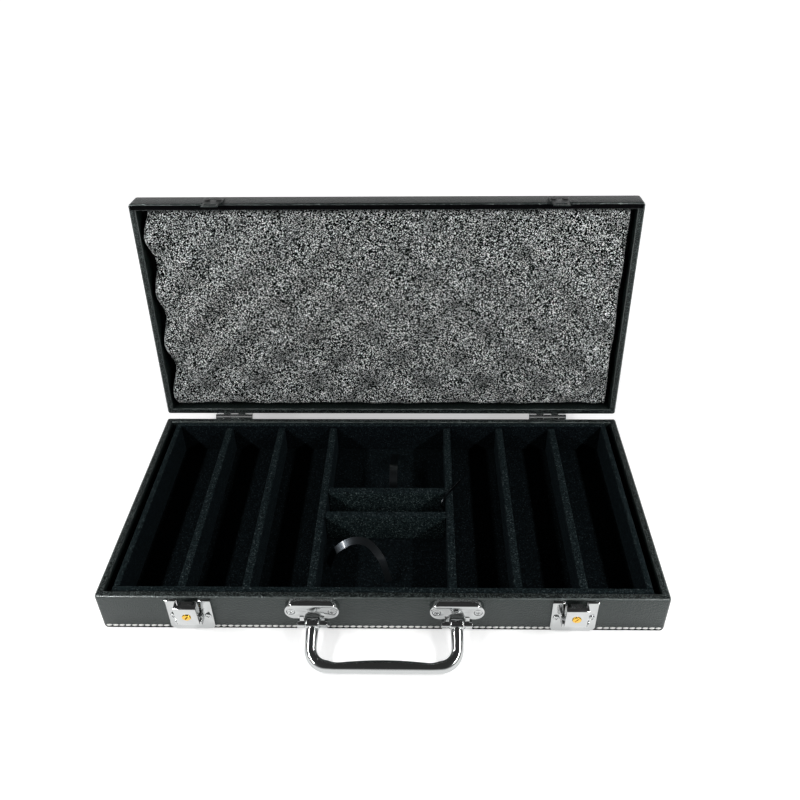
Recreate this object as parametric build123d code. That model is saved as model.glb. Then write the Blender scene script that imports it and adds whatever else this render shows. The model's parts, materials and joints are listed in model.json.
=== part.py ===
"""Leather poker case, standing open: a base with a felt-covered chip insert, a foam-lined lid, a handle, two latches."""
from build123d import *
import math
import os

os.makedirs("parts", exist_ok=True)

# Lengths are millimetres and angles are degrees.
# X runs along the case, the front faces -Y and Z is up.
# The origin is the centre of the underside, on the surface that the case stands on.

# Case: boards wrapped in leather
case_width = 400.0
case_depth = 196.0
base_height = 34.0
lid_height = 18.0
leather = 0.7
wall_board = 4.0
floor_board = 3.0
lid_panel = 3.0
corner_radius = 2.5
rim_rounding = 0.6
panel_rounding = 1.0
floor_edge_rounding = 0.4

# Lid: how it meets the base, and how far it opens before the hinge stops
lid_gap = 1.0
lid_open_angle = 94.5
felt_strip_thickness = 0.8

# Lid foam: an egg-crate sheet, with peaks and hollows by turns along and across it
foam_below_rim = 0.5
foam_relief = 7.5
foam_step = 24.7
foam_cone_gap = 0.5
foam_crown_radius = 4.2
foam_middle_peak_x = -16.0
foam_middle_peak_y = -3.8

# Chip insert: a felt-covered box that drops into the base
channel_width = 40.0
channels_per_side = 3
dice_slot_length = 20.2
card_slot_back_length = 74.3
divider_thickness = 6.0
divider_below_wall = 2.5
divider_end_rounding = 3.0
insert_wall = 4.5
insert_floor_thickness = 2.3
insert_below_rim = 0.5
insert_clearance = 0.3
insert_side_gap = 5.1

# Ribbons that lift the cards and the dice out
ribbon_width = 6.5
ribbon_thickness = 0.4
ribbon_clearance = 0.4
front_ribbon_from_side = 4.0
front_ribbon_lean = 0.3
front_ribbon_top_share = 0.55
front_ribbon_reach = 48.0
front_ribbon_from_front = 41.0
front_ribbon_advance = 22.0
back_ribbon_x = 4.5
back_ribbon_reach = 60.0
back_ribbon_top_share = 0.75
dice_ribbon_width = 3.0
dice_ribbon_from_divider = 2.4
dice_ribbon_above_divider = 2.0
dice_ribbon_drop = 10.0
dice_ribbon_advance = 1.5
dice_ribbon_overhang = 6.5
dice_ribbon_reach = 22.0
dice_ribbon_rise = 0.4
dice_ribbon_bend = 3.0

# Hinges: two butt hinges with a stop tail
hinge_from_side = 60.0
hinge_width = 33.0
hinge_leaf_height = 12.0
hinge_leaf_thickness = 0.8
hinge_barrel_diameter = 3.8
hinge_pin_diameter = 1.6
hinge_knuckles = 5
hinge_axis_behind = 2.0
hinge_side_clearance = 0.15
hinge_barrel_clearance = 0.3
hinge_tail_length = 4.0
hinge_tail_thickness = 1.0
hinge_tail_clearance = 0.02
hinge_screw_spacing = 19.0
hinge_screw_drop = 7.4

# Latches: a plate on the base and a cover that swings down from its lower edge
latch_from_side = 65.5
latch_plate_width = 31.6
latch_plate_thickness = 1.2
latch_plate_bottom = 1.4
latch_plate_below_rim = 1.6
latch_plate_corner = 4.0
latch_notch_width = 15.0
latch_notch_depth = 8.2
latch_hem_radius = 0.9
latch_screw_spacing = 24.6
latch_screw_below_rim = 18.4
latch_tab_width = 4.0
latch_tab_height = 2.0
latch_tab_below_cover = 1.4
latch_ear_thickness = 1.2
latch_ear_height = 7.0
latch_pin_diameter = 2.0
cover_width = 15.5
cover_side_clearance = 0.3
cover_back = 2.0
cover_front = 8.0
cover_pivot_below_rim = 18.4
cover_top_below_rim = 0.3
cover_top_rounding = 1.0
cover_front_wall = 1.7
cover_side_wall = 0.85
cover_top_wall = 1.2
cover_slot_depth = 2.6
cover_cavity_above_pivot = 2.0
cover_ajar_angle = 6.0
hook_below_rim = 3.5
hook_width = 8.0
hook_thickness = 2.0
hook_tip_gap = 0.4
key_diameter = 6.0
key_below_rim = 10.4
key_proud = 0.4
key_depth = 4.0
key_slot_width = 0.8
key_slot_length = 3.8
key_slot_depth = 2.0
key_slot_tilt = 35.0
key_cam_length = 4.3
key_cam_width = 2.4
key_cam_thickness = 1.0

# Hasps on the lid: leather-covered straps with a tongue that the latch hooks hold
hasp_plate_width = 16.0
hasp_plate_height = 11.0
hasp_thickness = 0.8
hasp_tongue_width = 13.0
hasp_tongue_length = 7.8
hasp_standoff = 0.2
hasp_window_width = 9.4
hasp_window_clearance = 0.6
hasp_rivet_spacing = 9.0
hasp_rivet_radius = 1.2
hasp_rivet_head_radius = 2.2
hasp_rivet_head_height = 0.5
hasp_rivet_share = 0.6

# Handle and its brackets
handle_offset = 2.4
handle_span = 100.6
handle_leg = 9.4
handle_thickness = 9.0
handle_reach = 28.5
handle_bend = 12.0
handle_pivot_ahead = 6.5
handle_pivot_below_bracket = 4.5
handle_above_ground = 0.2
bracket_width = 38.0
bracket_height = 14.6
bracket_depth = 6.0
bracket_below_rim = 0.5
bracket_edge_rounding = 1.2
bracket_slot_clearance = 0.3
bracket_slot_above_base = 6.7
bracket_web = 0.8
bracket_rib_thickness = 3.0
bracket_rib_clearance = 0.9
bracket_rib_depth = 6.5
lug_clearance = 0.5
lug_length = 5.2
lug_radius = 3.0
bracket_screw_spacing = 28.6
bracket_screw_above_base = 7.7
handle_pin_diameter = 3.0
handle_pin_proud = 0.4

# Stitching along the foot of the base and round the lid's face
thread_width = 0.5
thread_height = 0.3
base_thread_height = 2.9
lid_thread_inset = 4.0
thread_clearance = 0.3

# Screws and running fits
running_fit = 0.05
screw_bite = 4.2
small_screw_shank = 1.2
small_screw_head = 2.3
small_screw_head_height = 0.8
bracket_screw_shank = 1.5
bracket_screw_head = 3.0
bracket_screw_head_height = 1.4
screw_slot_width = 0.7
screw_slot_share = 1.1
screw_crown_share = 0.7

# Planes and places that follow from the sizes above
front = -case_depth / 2
back = case_depth / 2
wall = 2 * leather + wall_board
closed_height = base_height + lid_gap + lid_height
base_lining = leather + floor_board
lid_lining = leather + lid_panel
felt_floor = base_lining + insert_floor_thickness
insert_top = base_height - insert_below_rim
divider_top = insert_top - divider_below_wall
insert_half_depth = case_depth / 2 - wall - insert_clearance
channel_half_length = insert_half_depth - insert_wall
side_width = channels_per_side * (channel_width + divider_thickness)
insert_half_width = case_width / 2 - wall - insert_side_gap
insert_half_inside = insert_half_width - insert_wall
card_slot_width = 2 * (insert_half_inside - side_width)
hinge_spacing = case_width - 2 * hinge_from_side
latch_spacing = case_width - 2 * latch_from_side
back_divider_front = channel_half_length - card_slot_back_length - divider_thickness
front_divider_back = back_divider_front - dice_slot_length
front_divider_front = front_divider_back - divider_thickness
hinge_y = back + hinge_axis_behind
hinge_z = base_height + lid_gap / 2
cover_radius = (cover_front - cover_back) / 2
cover_pivot_y = front - (cover_front + cover_back) / 2
cover_pivot_height = base_height - cover_pivot_below_rim
cover_top = base_height - cover_top_below_rim
latch_screw_height = base_height - latch_screw_below_rim
hook_height = base_height - hook_below_rim
key_height = base_height - key_below_rim
bracket_base = base_height - bracket_below_rim - bracket_height
handle_pivot_y = front - handle_pivot_ahead
handle_pivot_height = bracket_base - handle_pivot_below_bracket
handle_drop = math.degrees(
    math.asin((handle_pivot_height - handle_thickness / 2 - handle_above_ground) / handle_reach)
)

SEATED = (Align.CENTER, Align.CENTER, Align.MIN)
HANGING = (Align.CENTER, Align.CENTER, Align.MAX)
SIDES = {"left": -1, "right": 1}


def turned_about(y, z, angle):
    """Placement that turns a piece about the line along X through y and z."""
    return Pos(0, y, z) * Rot(angle, 0, 0) * Pos(0, -y, -z)


lid_open = turned_about(hinge_y, hinge_z, -lid_open_angle)
lid_closed = Pos(0, 0, closed_height) * Rot(180, 0, 0)
cover_ajar = turned_about(cover_pivot_y, cover_pivot_height, cover_ajar_angle)
handle_down = turned_about(handle_pivot_y, handle_pivot_height, handle_drop)


def write(name, shape):
    """Write one node."""
    export_step(shape, f"parts/{name}.step")


def block(x, y, z):
    """Box between the pairs of limits x, y and z."""
    corner = Pos(min(x), min(y), min(z))
    return corner * Box(abs(x[1] - x[0]), abs(y[1] - y[0]), abs(z[1] - z[0]), align=(Align.MIN,) * 3)


def front_block(x, ahead, z):
    """Box on the front face, with ahead the distances in front of it."""
    return block(x, (front - ahead[0], front - ahead[1]), z)


def rod(radius, start, end):
    """Round bar between two points."""
    along = Vector(*end) - Vector(*start)
    return Plane(origin=start, z_dir=along) * Cylinder(radius, along.length, align=SEATED)


def cross_rod(radius, x, y, z):
    """Round bar along X between the pair of limits x."""
    return rod(radius, (x[0], y, z), (x[1], y, z))


def prism(inset, low, high):
    """The case's plan, drawn in by inset, between two heights."""
    width = case_width - 2 * inset
    depth = case_depth - 2 * inset
    radius = corner_radius - inset
    plan = RectangleRounded(width, depth, radius) if radius > 0 else Rectangle(width, depth)
    return Pos(0, 0, low) * extrude(plan, high - low)


def screw(head_radius, head_height, shank_radius, length):
    """Round-headed cross screw, seated at the origin with its head along +Z."""
    head = Cylinder(head_radius, head_height, align=SEATED)
    head = fillet(head.edges().group_by(Axis.Z)[-1], head_height * screw_crown_share)
    arm = head_radius * screw_slot_share
    cross = Box(arm, screw_slot_width, head_height, align=SEATED)
    cross += Box(screw_slot_width, arm, head_height, align=SEATED)
    shank = Cylinder(shank_radius, length, align=HANGING)
    return head + shank - Pos(0, 0, head_height / 2) * cross


def seated(shape, points, outward):
    """Copies of a fastener at the points, its head turned outward, as one group of solids."""
    return Compound(children=[Plane(origin=point, z_dir=outward) * shape for point in points])


def drilled(shape, points, outward, radius, length):
    """The shape with a hole at each point, length deep."""
    inward = Vector(*outward) * -length
    for point in points:
        shape -= rod(radius, point, Vector(*point) + inward)
    return shape


# Fastener places, shared by the pieces and by the holes that they go through
front_way = (0, -1, 0)
back_way = (0, 1, 0)
latch_xs = [side * latch_spacing / 2 for side in (-1, 1)]
hinge_xs = [side * hinge_spacing / 2 for side in (-1, 1)]
bracket_xs = [handle_offset + side * handle_span / 2 for side in (-1, 1)]
latch_screw_seats = [
    (x + side * latch_screw_spacing / 2, front - latch_plate_thickness, latch_screw_height)
    for x in latch_xs
    for side in (-1, 1)
]
bracket_seat_ahead = bracket_depth - bracket_screw_head_height
bracket_screw_seats = [
    (x + side * bracket_screw_spacing / 2, front - bracket_seat_ahead, bracket_base + bracket_screw_above_base)
    for x in bracket_xs
    for side in (-1, 1)
]
hinge_base_seats = [
    (x + side * hinge_screw_spacing / 2, back + hinge_leaf_thickness, hinge_z - hinge_screw_drop)
    for x in hinge_xs
    for side in (-1, 1)
]
hinge_lid_seats = [(x, y, hinge_z + hinge_screw_drop) for x, y, z in hinge_base_seats]
hasp_rivet_height = base_height + lid_gap + hasp_plate_height * hasp_rivet_share
hasp_rivet_seats = [
    (x + side * hasp_rivet_spacing / 2, front, hasp_rivet_height) for x in latch_xs for side in (-1, 1)
]
latch_screw_length = latch_plate_thickness + screw_bite
bracket_screw_length = bracket_seat_ahead + screw_bite
hinge_screw_length = hinge_leaf_thickness + screw_bite


def front_drilled(shape):
    """Base wall or cover with the holes for the latch and bracket screws."""
    shape = drilled(shape, latch_screw_seats, front_way, small_screw_shank + running_fit, latch_screw_length)
    reach = bracket_screw_shank + running_fit
    return drilled(shape, bracket_screw_seats, front_way, reach, bracket_screw_length)


def hinge_drilled(shape, seats):
    """Back wall or cover with the holes for the hinge screws."""
    return drilled(shape, seats, back_way, small_screw_shank + running_fit, hinge_screw_length)


def rivet_drilled(shape):
    """Lid wall or cover with the holes for the hasp rivets."""
    return drilled(shape, hasp_rivet_seats, front_way, hasp_rivet_radius + running_fit, wall)


def board_ring(low, high):
    """The ring of wall boards between the outer leather and the lining."""
    return prism(leather, low, high) - prism(leather + wall_board, low, high)


def board_sides(ring, height):
    """The ring cut into its four boards: the long ones run the full width, the short ones fit between."""
    reach = case_depth / 2 - leather - wall_board
    z = (0, height)
    near = block((-case_width, case_width), (-case_depth, -reach), z)
    far = block((-case_width, case_width), (reach, case_depth), z)
    left = block((-case_width, 0), (-reach, reach), z)
    right = block((0, case_width), (-reach, reach), z)
    return [ring & near, ring & far, ring & left, ring & right]


def rim_rounded(shape):
    """The shape with its topmost edges rounded."""
    return fillet(shape.edges().group_by(Axis.Z)[-1], rim_rounding)


# Base: boards and leather
base_bottom = prism(0, 0, leather)
base_bottom = fillet(base_bottom.edges().group_by(Axis.Z)[0], floor_edge_rounding)
write("base_bottom_leather", base_bottom)
write("base_bottom_board", prism(leather + wall_board, leather, base_lining))
base_ring = board_ring(leather, base_height - leather)
front_board, back_board, left_board, right_board = board_sides(base_ring, base_height)
write("base_front_board", front_drilled(front_board))
write("base_back_board", hinge_drilled(back_board, hinge_base_seats))
write("base_left_board", left_board)
write("base_right_board", right_board)
base_cover = rim_rounded(prism(0, leather, base_height) - prism(wall, leather, base_height))
base_cover -= base_ring
base_cover -= prism(leather + wall_board, leather, base_lining)
write("base_leather_cover", hinge_drilled(front_drilled(base_cover), hinge_base_seats))

thread_low = base_thread_height - thread_width / 2
thread_high = thread_low + thread_width
base_thread = prism(-thread_height, thread_low, thread_high) - prism(0, thread_low, thread_high)
for x in latch_xs:
    reach = latch_plate_width / 2 + thread_clearance
    if thread_high > latch_plate_bottom - thread_clearance:
        base_thread -= front_block((x - reach, x + reach), (-1, 1), (0, thread_high + thread_clearance))
write("base_seam_thread", base_thread)

# Insert: floor, four walls and the dividers between the chip channels
inside_x = (-insert_half_inside, insert_half_inside)
wall_z = (felt_floor, insert_top)
divider_z = (felt_floor, divider_top)
write(
    "insert_floor",
    block((-insert_half_width, insert_half_width), (-insert_half_depth, insert_half_depth), (base_lining, felt_floor)),
)
for name, side in (("front", -1), ("back", 1)):
    limits = (side * channel_half_length, side * insert_half_depth)
    write(f"insert_{name}_wall", block((-insert_half_width, insert_half_width), limits, wall_z))
for name, side in SIDES.items():
    limits = (side * insert_half_inside, side * insert_half_width)
    write(f"insert_{name}_wall", block(limits, (-channel_half_length, channel_half_length), wall_z))

pitch = channel_width + divider_thickness
first_divider = card_slot_width / 2 + divider_thickness / 2
divider_xs = [-first_divider - i * pitch for i in reversed(range(channels_per_side))]
divider_xs += [first_divider + i * pitch for i in range(channels_per_side)]
for number, x in enumerate(divider_xs, start=1):
    half = divider_thickness / 2
    divider = block((x - half, x + half), (-channel_half_length, channel_half_length), divider_z)
    back_edge = divider.edges().filter_by(Axis.X).sort_by(lambda edge: edge.center().Y + edge.center().Z)[-1]
    write(f"chip_divider_{number}", fillet(back_edge, divider_end_rounding))

card_slot_x = (-card_slot_width / 2, card_slot_width / 2)
write(
    "cross_divider_back",
    block(card_slot_x, (back_divider_front, back_divider_front + divider_thickness), divider_z),
)
write("cross_divider_front", block(card_slot_x, (front_divider_front, front_divider_back), divider_z))


def ribbon_arch(start, top, end):
    """Flat ribbon bent into an arc through three points, its width square to the arc's plane."""
    start, top, end = Vector(*start), Vector(*top), Vector(*end)
    arc = ThreePointArc(start, top, end)
    across = (top - start).cross(end - top)
    section = Plane(origin=start, x_dir=across, z_dir=arc % 0) * Rectangle(ribbon_width, ribbon_thickness)
    return sweep(section, path=arc)


# Ribbons: a loop in each card slot and a loose end out of the dice slot
ribbon_floor = felt_floor + ribbon_width * front_ribbon_lean + ribbon_clearance
front_slot_y = -channel_half_length + front_ribbon_from_front
front_ribbon_x = card_slot_x[0] + front_ribbon_from_side
front_ribbon_top = front_ribbon_x + front_ribbon_reach * front_ribbon_top_share
ribbon_top = divider_top - ribbon_width / 2
write(
    "ribbon_front",
    ribbon_arch(
        (front_ribbon_x, front_slot_y, ribbon_floor),
        (front_ribbon_top, front_slot_y + ribbon_width / 2, ribbon_top),
        (front_ribbon_x + front_ribbon_reach, front_slot_y - front_ribbon_advance, ribbon_floor),
    ),
)
back_ribbon_end = channel_half_length - ribbon_width
back_ribbon_top = back_ribbon_end - back_ribbon_reach * back_ribbon_top_share
write(
    "ribbon_back",
    ribbon_arch(
        (back_ribbon_x, back_ribbon_end, felt_floor + ribbon_clearance),
        (back_ribbon_x, back_ribbon_top, ribbon_top),
        (back_ribbon_x, back_ribbon_end - back_ribbon_reach, felt_floor + ribbon_clearance),
    ),
)
dice_ribbon_x = card_slot_width / 2 - dice_ribbon_from_divider
dice_ribbon_y = (front_divider_back + back_divider_front) / 2
dice_ribbon_z = divider_top + dice_ribbon_above_divider
dice_ribbon_route = FilletPolyline(
    (dice_ribbon_x, dice_ribbon_y, dice_ribbon_z - dice_ribbon_drop),
    (dice_ribbon_x, dice_ribbon_y + dice_ribbon_advance, dice_ribbon_z),
    (
        card_slot_width / 2 + divider_thickness + dice_ribbon_overhang,
        dice_ribbon_y + dice_ribbon_reach,
        dice_ribbon_z + dice_ribbon_rise,
    ),
    radius=dice_ribbon_bend,
)
dice_section = Plane(origin=dice_ribbon_route @ 0, x_dir=(0, 1, 0), z_dir=dice_ribbon_route % 0)
write("ribbon_dice", sweep(dice_section * Rectangle(dice_ribbon_width, ribbon_thickness), path=dice_ribbon_route))

def egg_crate(sheet_top):
    """Foam sheet in the lid's tray: cones rise from its middle level at the peaks and sink into it at the hollows."""
    rise = foam_relief / 2
    middle = sheet_top - rise
    reach = foam_step / 2 - foam_cone_gap / 2
    peak = Cone(reach, foam_crown_radius, rise, align=SEATED)
    hollow = Cone(foam_crown_radius, reach, rise, align=HANGING)
    columns = int(case_width / foam_step / 2) + 1
    rows = int(case_depth / foam_step / 2) + 1
    peaks = []
    hollows = []
    for column in range(-columns, columns + 1):
        for row in range(-rows, rows + 1):
            place = Pos(foam_middle_peak_x + column * foam_step, foam_middle_peak_y + row * foam_step, middle)
            if (column + row) % 2 == 0:
                peaks.append(place * peak)
            else:
                hollows.append(place * hollow)
    sheet = prism(wall + insert_clearance, lid_lining, middle) - hollows + peaks
    return sheet & prism(wall + insert_clearance, lid_lining, sheet_top)


# Lid: built closed, then opened about the hinge
lid_ring = board_ring(leather, lid_height - leather)
lid_cover = rim_rounded(prism(0, 0, lid_height) - prism(wall, leather, lid_height))
lid_cover = fillet(lid_cover.edges().group_by(Axis.Z)[0], panel_rounding)
lid_cover -= lid_ring
lid_cover -= prism(leather + wall_board, leather, lid_lining)
lid_cover = rivet_drilled(hinge_drilled(lid_closed * lid_cover, hinge_lid_seats))
lid_back, lid_front, lid_left, lid_right = [lid_closed * board for board in board_sides(lid_ring, lid_height)]
lid_felt = prism(rim_rounding / 2, lid_height, lid_height + felt_strip_thickness)
lid_felt &= block((-case_width, case_width), (back - wall, back), (lid_height, closed_height))
lid_thread = prism(lid_thread_inset, -thread_height, 0)
lid_thread -= prism(lid_thread_inset + thread_width, -thread_height, 0)
foam = egg_crate(lid_height - foam_below_rim)
write("lid_leather_cover", lid_open * lid_cover)
write("lid_panel_board", lid_open * lid_closed * prism(leather + wall_board, leather, lid_lining))
write("lid_front_board", lid_open * rivet_drilled(lid_front))
write("lid_back_board", lid_open * hinge_drilled(lid_back, hinge_lid_seats))
write("lid_left_board", lid_open * lid_left)
write("lid_right_board", lid_open * lid_right)
write("lid_foam", lid_open * lid_closed * foam)
write("lid_felt_strip", lid_open * lid_closed * lid_felt)
write("lid_seam_thread", lid_open * lid_closed * lid_thread)


# Hinges: knuckles alternate between the leaves, and a tail under the lid's knuckles stops it
def knuckle_spans(x, first):
    """Limits in X of every second knuckle from the first one."""
    pitch = hinge_width / hinge_knuckles
    start = x - hinge_width / 2
    spans = []
    for i in range(first, hinge_knuckles, 2):
        spans.append((start + i * pitch + hinge_side_clearance / 2, start + (i + 1) * pitch - hinge_side_clearance / 2))
    return spans


def hinge_leaf(x, first, upward):
    """Leaf against the back face with its knuckles round the pin; upward is 1 for the lid and -1 for the base."""
    y = (back, back + hinge_leaf_thickness)
    barrel = hinge_barrel_diameter / 2
    clear = hinge_z + upward * (barrel + hinge_barrel_clearance)
    far = hinge_z + upward * hinge_leaf_height
    leaf = block((x - hinge_width / 2, x + hinge_width / 2), y, (clear, far))
    for span in knuckle_spans(x, first):
        leaf += block(span, y, (hinge_z, clear))
        leaf += cross_rod(barrel, span, hinge_y, hinge_z)
    bore = hinge_pin_diameter / 2 + running_fit
    return leaf - cross_rod(bore, (x - hinge_width, x + hinge_width), hinge_y, hinge_z)


for name, side in SIDES.items():
    x = side * hinge_spacing / 2
    reach = small_screw_shank + running_fit
    base_leaf = drilled(hinge_leaf(x, 0, -1), hinge_base_seats, back_way, reach, hinge_leaf_thickness)
    write(f"hinge_base_leaf_{name}", base_leaf)
    lid_leaf = lid_open * drilled(hinge_leaf(x, 1, 1), hinge_lid_seats, back_way, reach, hinge_leaf_thickness)
    tail_front = back + hinge_leaf_thickness + hinge_tail_clearance
    for span in knuckle_spans(x, 1):
        tail = block(span, (tail_front, tail_front + hinge_tail_thickness), (hinge_z - hinge_tail_length, hinge_z))
        lid_leaf += tail - cross_rod(hinge_barrel_diameter / 2, span, hinge_y, hinge_z)
    write(f"hinge_lid_leaf_{name}", lid_leaf)
    pin_x = (x - hinge_width / 2, x + hinge_width / 2)
    write(f"hinge_pin_{name}", cross_rod(hinge_pin_diameter / 2, pin_x, hinge_y, hinge_z))
hinge_screw = screw(small_screw_head, small_screw_head_height, small_screw_shank, hinge_screw_length)
write("hinge_base_screws", seated(hinge_screw, hinge_base_seats, back_way))
write("hinge_lid_screws", lid_open * seated(hinge_screw, hinge_lid_seats, back_way))


# Latches
def latch_plate(x):
    """Plate with rounded lower corners, a notch for the hasp, hems at its top and two ears for the cover's pin."""
    half = latch_plate_width / 2
    top = base_height - latch_plate_below_rim
    plate = front_block((-half, half), (0, latch_plate_thickness), (latch_plate_bottom, top))
    lower_edges = plate.edges().filter_by(Axis.Y).group_by(Axis.Z)[0]
    plate = fillet(lower_edges, latch_plate_corner)
    notch = latch_notch_width / 2
    plate -= front_block((-notch, notch), (0, latch_plate_thickness), (top - latch_notch_depth, top))
    ear_start = cover_width / 2 + cover_side_clearance
    for side in (-1, 1):
        hem = (side * ear_start, side * half)
        plate += cross_rod(latch_hem_radius, hem, front - latch_plate_thickness, top - latch_hem_radius)
        ear = (side * ear_start, side * (ear_start + latch_ear_thickness))
        low = cover_pivot_height - cover_radius
        arm = front_block(ear, (0, cover_front - cover_radius), (low, low + latch_ear_height))
        plate += arm + cross_rod(cover_radius, ear, cover_pivot_y, cover_pivot_height)
    tab_top = cover_pivot_height - cover_radius - latch_tab_below_cover
    tab = (-latch_tab_width / 2, latch_tab_width / 2)
    plate += front_block(tab, (0, cover_back), (tab_top - latch_tab_height, tab_top))
    plate = Pos(x, 0, 0) * plate
    bore = latch_pin_diameter / 2 + running_fit
    plate -= cross_rod(bore, (x - half, x + half), cover_pivot_y, cover_pivot_height)
    return drilled(plate, latch_screw_seats, front_way, small_screw_shank + running_fit, latch_screw_length)


def latch_cover(x):
    """Hollow cover about its pin, open behind and at the top, with the hook inside and a bore for the lock."""
    half = cover_width / 2
    low = cover_pivot_height
    cover = front_block((-half, half), (cover_back, cover_front), (low, cover_top))
    top_edge = cover.edges().filter_by(Axis.X).sort_by(lambda edge: edge.center().Z - edge.center().Y)[-1]
    cover = fillet(top_edge, cover_top_rounding)
    cover += cross_rod(cover_radius, (-half, half), cover_pivot_y, low)
    room = half - cover_side_wall
    inner_front = cover_front - cover_front_wall
    floor = low + cover_cavity_above_pivot
    cover -= front_block((-room, room), (cover_back, inner_front), (floor, cover_top - cover_top_wall))
    cover -= front_block((-room, room), (cover_back, cover_back + cover_slot_depth), (floor, cover_top))
    hook_z = (hook_height - hook_thickness / 2, hook_height + hook_thickness / 2)
    cover += front_block((-hook_width / 2, hook_width / 2), (hook_tip_gap, inner_front), hook_z)
    cover = Pos(x, 0, 0) * cover
    bore = latch_pin_diameter / 2 + running_fit
    cover -= cross_rod(bore, (x - case_width, x + case_width), cover_pivot_y, cover_pivot_height)
    key_bore = key_diameter / 2 + running_fit
    return cover - rod(key_bore, (x, front - inner_front, key_height), (x, front - cover_front, key_height))


def key_cylinder(x):
    """Brass lock cylinder with a tilted key slot in front and a cam behind."""
    face = front - cover_front - key_proud
    heel = front - key_depth
    cylinder = rod(key_diameter / 2, (0, heel, 0), (0, face, 0))
    slot_x = (-key_slot_width / 2, key_slot_width / 2)
    slot = block(slot_x, (face, face + key_slot_depth), (-key_slot_length / 2, key_slot_length / 2))
    cylinder -= Rot(0, key_slot_tilt, 0) * slot
    cam = block((-key_cam_width / 2, key_cam_width / 2), (heel, heel - key_cam_thickness), (-key_cam_length, 0))
    return Pos(x, 0, key_height) * (cylinder + cam)


def lid_hasp(x):
    """Strap on the lid's front face with a windowed tongue that hangs over the base."""
    low = base_height + lid_gap + rim_rounding
    high = low + hasp_plate_height
    ahead = (0, hasp_thickness + hasp_standoff)
    half = hasp_plate_width / 2
    hasp = front_block((-half, half), ahead, (low, high))
    reach = hasp_tongue_width / 2
    tongue_low = base_height + lid_gap - hasp_tongue_length
    hasp += front_block((-reach, reach), (hasp_standoff, ahead[1]), (tongue_low, low))
    window = hook_thickness / 2 + hasp_window_clearance
    window_x = (-hasp_window_width / 2, hasp_window_width / 2)
    hasp -= front_block(window_x, ahead, (hook_height - window, hook_height + window))
    hasp = Pos(x, 0, 0) * hasp
    outer_seats = [(px, py - ahead[1], pz) for px, py, pz in hasp_rivet_seats]
    return drilled(hasp, outer_seats, front_way, hasp_rivet_radius + running_fit, ahead[1])


for name, side in SIDES.items():
    x = side * latch_spacing / 2
    write(f"latch_plate_{name}", latch_plate(x))
    write(f"latch_cover_{name}", cover_ajar * latch_cover(x))
    write(f"key_cylinder_{name}", cover_ajar * key_cylinder(x))
    pin_reach = cover_width / 2 + cover_side_clearance + latch_ear_thickness
    pin_x = (x - pin_reach, x + pin_reach)
    write(f"latch_pin_{name}", cross_rod(latch_pin_diameter / 2, pin_x, cover_pivot_y, cover_pivot_height))
    write(f"lid_hasp_{name}", lid_open * lid_hasp(x))
latch_screw = screw(small_screw_head, small_screw_head_height, small_screw_shank, latch_screw_length)
write("latch_screws", seated(latch_screw, latch_screw_seats, front_way))

rivet_shank = Cylinder(hasp_rivet_radius, wall + hasp_thickness + hasp_standoff, align=HANGING)
rivet_head = Cylinder(hasp_rivet_head_radius, hasp_rivet_head_height, align=SEATED)
rivet_seats = [(px, py - hasp_thickness - hasp_standoff, pz) for px, py, pz in hasp_rivet_seats]
write("hasp_rivets", lid_open * seated(rivet_head + rivet_shank, rivet_seats, front_way))


# Handle: a round bar bent into a loop, its ends turned into flat-sided eyes about the pins
def handle_loop():
    """The loop lying level, its pivot line on the X axis."""
    half = handle_span / 2
    corners = [(-half, 0, 0), (-half, -handle_reach, 0), (half, -handle_reach, 0), (half, 0, 0)]
    path = FilletPolyline(*corners, radius=handle_bend)
    section = Plane(origin=corners[0], z_dir=(0, -1, 0)) * Circle(handle_thickness / 2)
    return sweep(section, path=path)


handle = handle_loop()
pin_bore = handle_pin_diameter / 2 + running_fit
for side in (-1, 1):
    eye_centre = side * handle_span / 2
    eye = (eye_centre - handle_leg / 2, eye_centre + handle_leg / 2)
    handle += cross_rod(handle_thickness / 2, eye, 0, 0)
    handle -= cross_rod(pin_bore, eye, 0, 0)
handle = Pos(handle_offset, handle_pivot_y, handle_pivot_height) * handle
write("handle", handle_down * handle)


def handle_bracket():
    """Rounded block with a slot for the handle's leg and two ribs that carry the pin's lugs."""
    half = bracket_width / 2
    body = extrude(SlotOverall(bracket_width, bracket_height), bracket_depth)
    body = fillet(body.edges().group_by(Axis.Z)[-1], bracket_edge_rounding)
    middle = bracket_base + bracket_height / 2
    bracket = Plane(origin=(0, front, middle), x_dir=(1, 0, 0), z_dir=front_way) * body
    slot = handle_leg / 2 + bracket_slot_clearance
    arch_z = bracket_base + bracket_slot_above_base - slot
    opening = (bracket_web, bracket_depth)
    bracket -= front_block((-slot, slot), opening, (bracket_base, arch_z))
    bracket -= rod(slot, (0, front - bracket_web, arch_z), (0, front - bracket_depth, arch_z))
    rib = handle_leg / 2 + bracket_rib_clearance
    lug = handle_leg / 2 + lug_clearance
    for side in (-1, 1):
        rib_x = (side * rib, side * (rib + bracket_rib_thickness))
        rib_top = bracket_base + lug_radius
        bracket += front_block(rib_x, (0, bracket_rib_depth), (handle_pivot_height, rib_top))
        lug_x = (side * lug, side * (lug + lug_length))
        bracket += cross_rod(lug_radius, lug_x, handle_pivot_y, handle_pivot_height)
    bracket -= cross_rod(pin_bore, (-half, half), handle_pivot_y, handle_pivot_height)
    return bracket


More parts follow.
